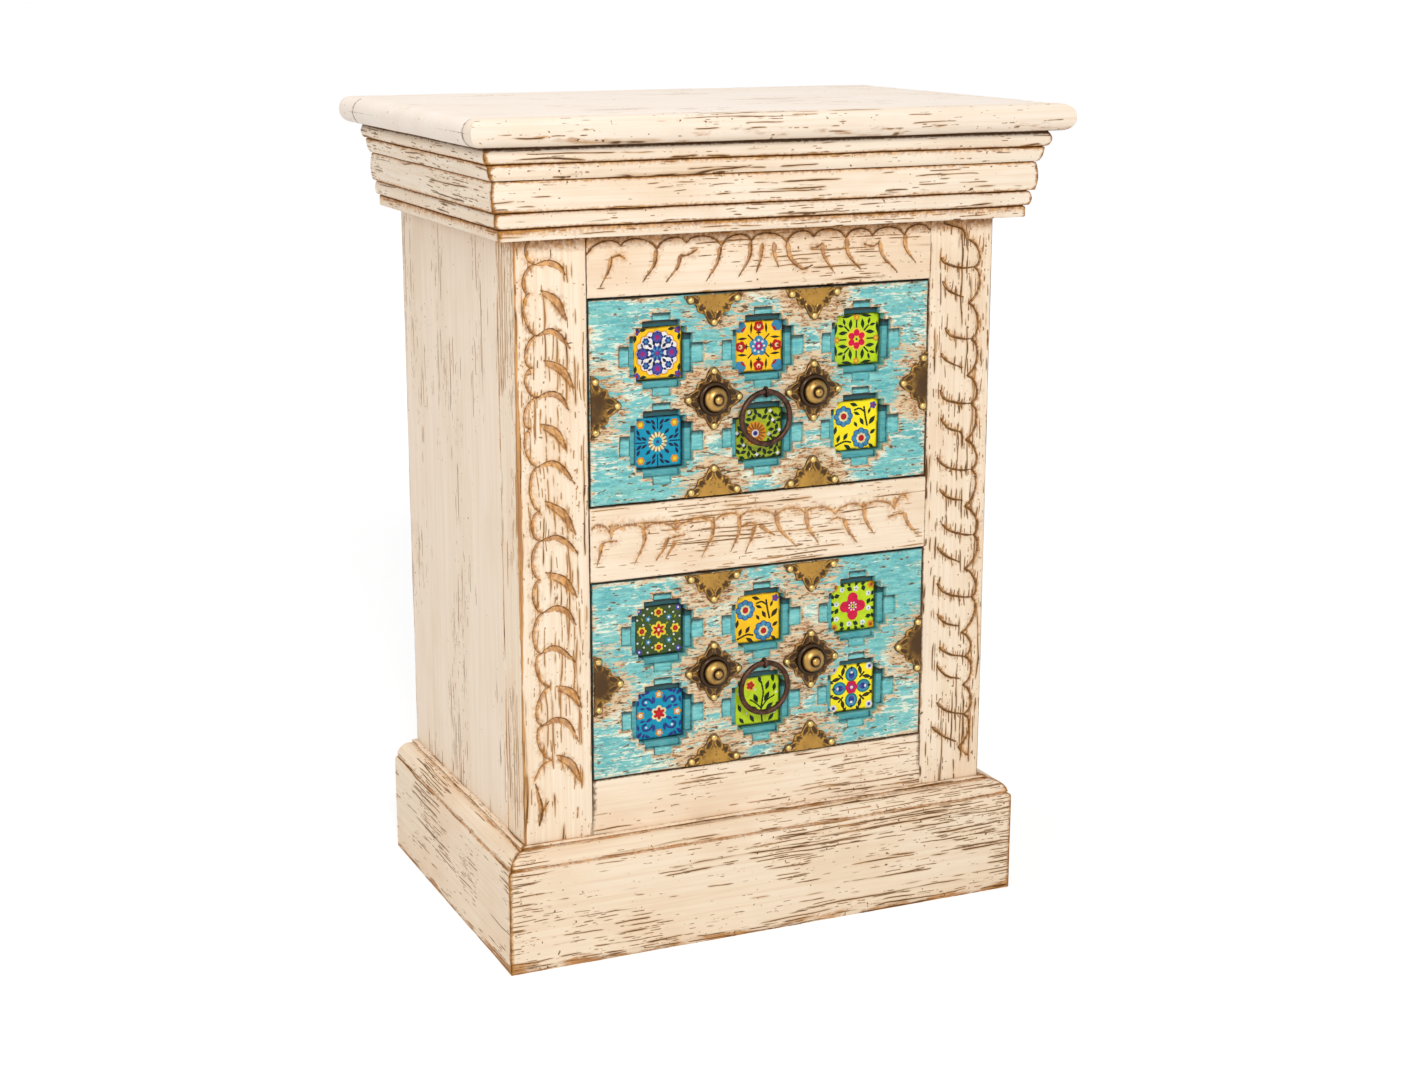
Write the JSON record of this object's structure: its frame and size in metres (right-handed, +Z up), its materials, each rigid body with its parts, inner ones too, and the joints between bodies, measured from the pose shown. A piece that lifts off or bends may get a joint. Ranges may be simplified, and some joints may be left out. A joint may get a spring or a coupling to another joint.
{
  "type": "nightstand",
  "caption": "Painted wooden nightstand with a moulded plinth, stepped cornice, carved frame and tiled drawers that slide out on ring pulls.",
  "frame": {"origin": "on the floor, under the middle of the top's outline", "axes": "+Z up, -Y out of the drawer fronts, +X to the right as seen from the front"},
  "size_m": [0.476, 0.331, 0.63],
  "materials": {
    "cream_paint": "worn matt chalk paint over wood",
    "turquoise_paint": "worn turquoise paint over a pale ground",
    "bare_wood": "bare sawn hardwood",
    "brass": "aged, dark in the hollows",
    "iron": "brown forged iron",
    "yellow_glaze": "gloss glaze, hand painted flowers",
    "amber_glaze": "gloss glaze, hand painted flowers",
    "lime_glaze": "gloss glaze, hand painted flowers",
    "blue_glaze": "gloss glaze, hand painted flowers",
    "olive_glaze": "gloss glaze, hand painted flowers",
    "green_glaze": "gloss glaze, hand painted flowers"
  },
  "bodies": {
    "carcass": {"top_panel": "cream_paint", "top_front_edging": "cream_paint", "top_back_strip": "cream_paint", "cornice_front": "cream_paint", "cornice_left": "cream_paint", "cornice_right": "cream_paint", "post_front_left": "cream_paint", "post_front_right": "cream_paint", "rail_top": "cream_paint", "rail_middle": "cream_paint", "rail_bottom": "cream_paint", "side_panel_left": "cream_paint", "side_panel_right": "cream_paint", "back_panel": "bare_wood", "plinth_front": "cream_paint", "plinth_left": "cream_paint", "plinth_right": "cream_paint", "bottom_board": "bare_wood", "runner_upper_left": "bare_wood", "runner_upper_right": "bare_wood", "runner_lower_left": "bare_wood", "runner_lower_right": "bare_wood", "kicker_left": "bare_wood", "kicker_right": "bare_wood", "stop_upper": "bare_wood", "stop_lower": "bare_wood"},
    "upper_drawer": {"upper_drawer_front": "turquoise_paint", "upper_drawer_side_left": "bare_wood", "upper_drawer_side_right": "bare_wood", "upper_drawer_back": "bare_wood", "upper_drawer_bottom": "bare_wood", "upper_tile_1": "yellow_glaze", "upper_tile_2": "amber_glaze", "upper_tile_3": "lime_glaze", "upper_tile_4": "blue_glaze", "upper_tile_5": "olive_glaze", "upper_tile_6": "yellow_glaze", "upper_plate_left": "brass", "upper_plate_right": "brass", "upper_boss_left": "brass", "upper_boss_right": "brass", "upper_eye_pin": "iron"},
    "lower_drawer": {"lower_drawer_front": "turquoise_paint", "lower_drawer_side_left": "bare_wood", "lower_drawer_side_right": "bare_wood", "lower_drawer_back": "bare_wood", "lower_drawer_bottom": "bare_wood", "lower_tile_1": "green_glaze", "lower_tile_2": "amber_glaze", "lower_tile_3": "lime_glaze", "lower_tile_4": "blue_glaze", "lower_tile_5": "lime_glaze", "lower_tile_6": "yellow_glaze", "lower_plate_left": "brass", "lower_plate_right": "brass", "lower_boss_left": "brass", "lower_boss_right": "brass", "lower_eye_pin": "iron"},
    "upper_pull": {"upper_ring": "iron"},
    "lower_pull": {"lower_ring": "iron"}
  },
  "joints": [
    {"name": "upper_drawer_slide", "type": "slide", "parent": "carcass", "child": "upper_drawer", "axis": [0, -1, 0], "range_m": [0, 0.19]},
    {"name": "lower_drawer_slide", "type": "slide", "parent": "carcass", "child": "lower_drawer", "axis": [0, -1, 0], "range_m": [0, 0.19]},
    {"name": "upper_ring_swing", "type": "hinge", "parent": "upper_drawer", "child": "upper_pull", "pos_m": [0, -0.1262, 0.4226], "axis": [-1, 0, 0], "range_deg": [0, 180]},
    {"name": "lower_ring_swing", "type": "hinge", "parent": "lower_drawer", "child": "lower_pull", "pos_m": [0, -0.1262, 0.2126], "axis": [-1, 0, 0], "range_deg": [0, 180]}
  ]
}
